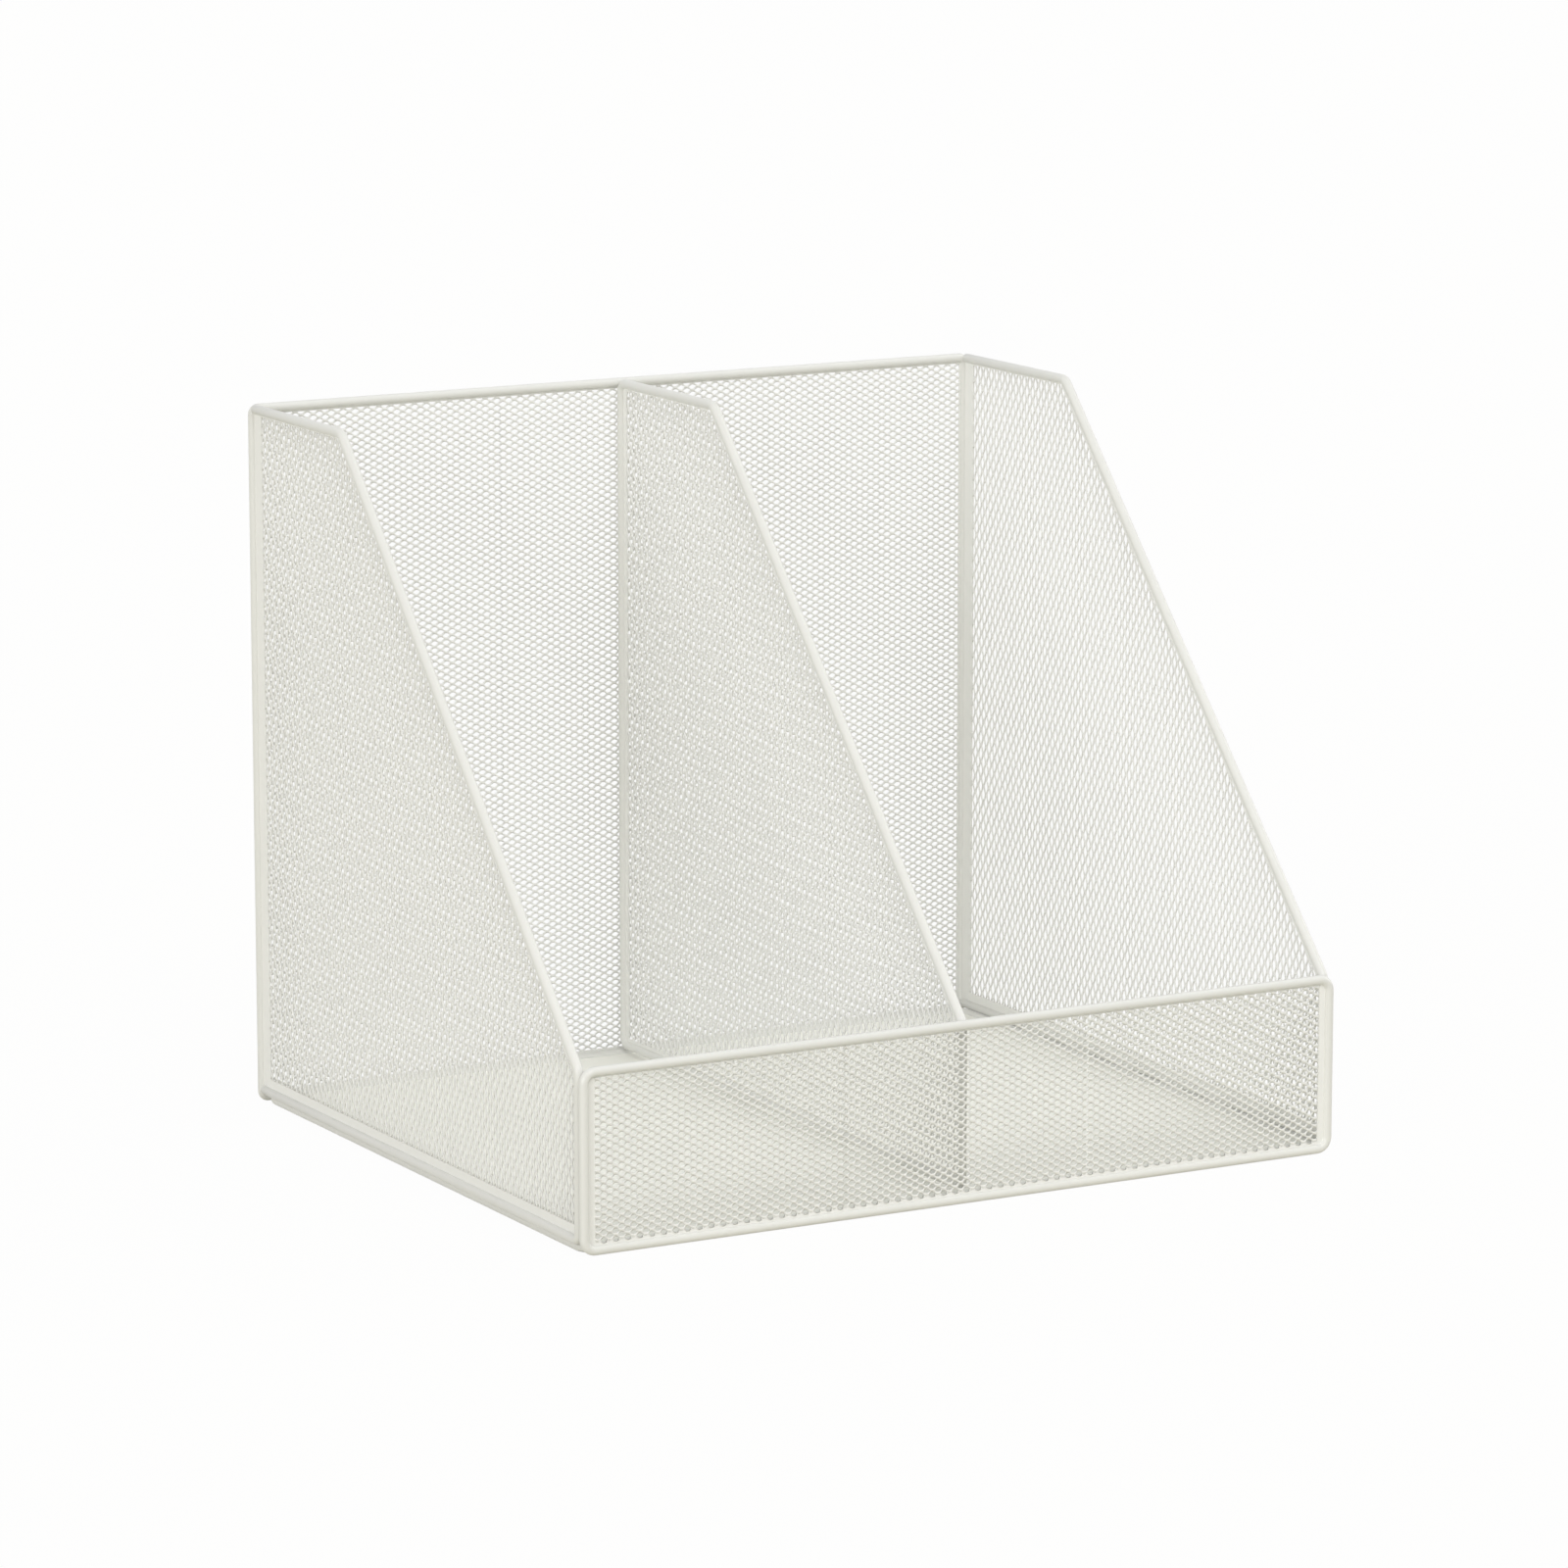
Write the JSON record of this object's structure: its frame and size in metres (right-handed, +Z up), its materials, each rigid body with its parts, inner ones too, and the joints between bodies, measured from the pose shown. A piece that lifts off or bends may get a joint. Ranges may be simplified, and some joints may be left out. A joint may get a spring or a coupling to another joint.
{
  "type": "letter rack",
  "caption": "Open-topped desk rack of welded rods and diamond mesh, with sloping sides, a divider and a low front, for standing letters, papers and folders.",
  "frame": {"origin": "middle of the footprint, on the surface the rack stands on", "axes": "+X to the right seen from the low front, +Y from the low front to the high back, +Z up"},
  "size_m": [0.3136, 0.2696, 0.2686],
  "materials": {
    "rods": "satin powder coat",
    "mesh": "satin powder coat",
    "sheet": "satin powder coat"
  },
  "bodies": {
    "root": {"back_frame": "rods", "back_mesh": "mesh", "left_frame": "rods", "left_mesh": "mesh", "divider_frame": "rods", "divider_mesh": "mesh", "right_frame": "rods", "right_mesh": "mesh", "front_frame": "rods", "front_mesh": "mesh", "base_frame": "rods", "base_sheet": "sheet"}
  },
  "joints": []
}
